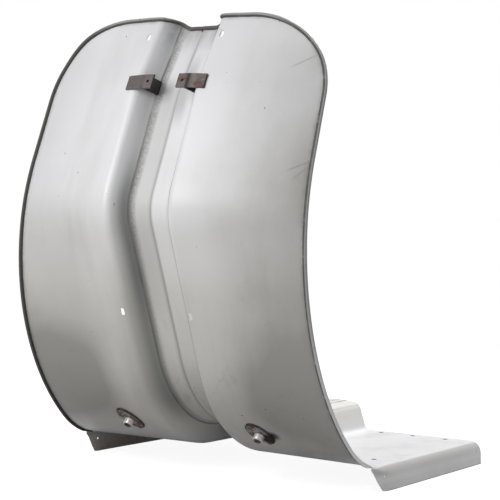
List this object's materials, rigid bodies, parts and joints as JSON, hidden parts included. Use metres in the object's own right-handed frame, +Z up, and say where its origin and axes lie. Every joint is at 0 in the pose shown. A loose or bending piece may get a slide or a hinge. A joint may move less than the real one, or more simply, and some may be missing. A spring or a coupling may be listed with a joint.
{
  "type": "scooter leg shield",
  "caption": "Pressed steel scooter leg shield: wings beside a channel for the frame tube, rolled rim, floor with a tunnel and side lips, upper brackets and lower fixings.",
  "frame": {"origin": "middle of the rear row of floor bolts, on the middle plane, halfway through the floor sheet", "axes": "+X to one side across the shield, -Y to the front of the scooter, +Z up with the floor level"},
  "size_m": [0.5702, 0.6467, 0.7246],
  "materials": {
    "panel_paint": "aged satin white paint with grime",
    "bracket_steel": "bare steel with dark rust",
    "flange_steel": "rusted steel",
    "sleeve_plating": "worn bright plating",
    "rivet_steel": "rusted steel"
  },
  "bodies": {
    "root": {"right_half": "panel_paint", "left_half": "panel_paint", "right_upper_bracket": "bracket_steel", "left_upper_bracket": "bracket_steel", "right_lower_flange": "flange_steel", "left_lower_flange": "flange_steel", "right_lower_sleeve": "sleeve_plating", "left_lower_sleeve": "sleeve_plating", "flange_rivets": "rivet_steel"}
  },
  "joints": []
}
